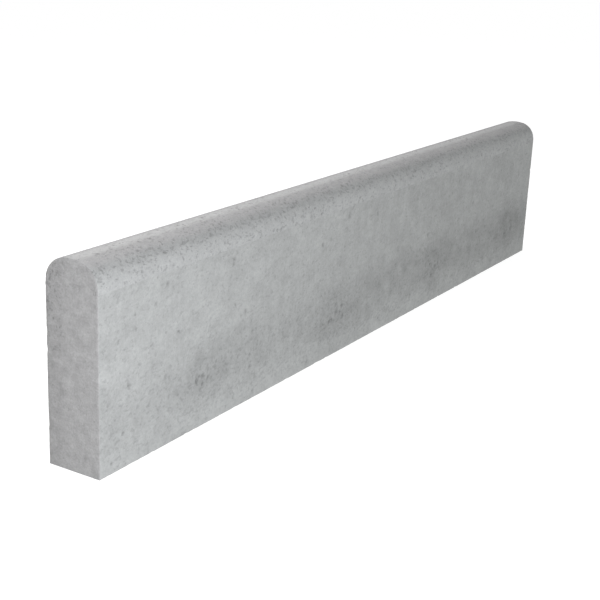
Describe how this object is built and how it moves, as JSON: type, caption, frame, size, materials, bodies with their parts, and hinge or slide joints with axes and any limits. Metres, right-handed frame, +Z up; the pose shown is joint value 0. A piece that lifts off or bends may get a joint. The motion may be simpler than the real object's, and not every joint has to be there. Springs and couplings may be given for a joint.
{
  "type": "concrete edging unit",
  "caption": "Straight precast concrete edging with a rounded top, flat ends and a flat bed, set on edge along paths, lawns and planting beds.",
  "frame": {"origin": "middle of the bed, the flat face the unit stands on", "axes": "+X along the length from one butt end to the other, +Y across the thickness, +Z up towards the rounded head"},
  "size_m": [1, 0.06, 0.2],
  "materials": {
    "backing_concrete": "matte",
    "facing_concrete": "matte"
  },
  "bodies": {
    "root": {"backing_body": "backing_concrete", "facing_head": "facing_concrete"}
  },
  "joints": []
}
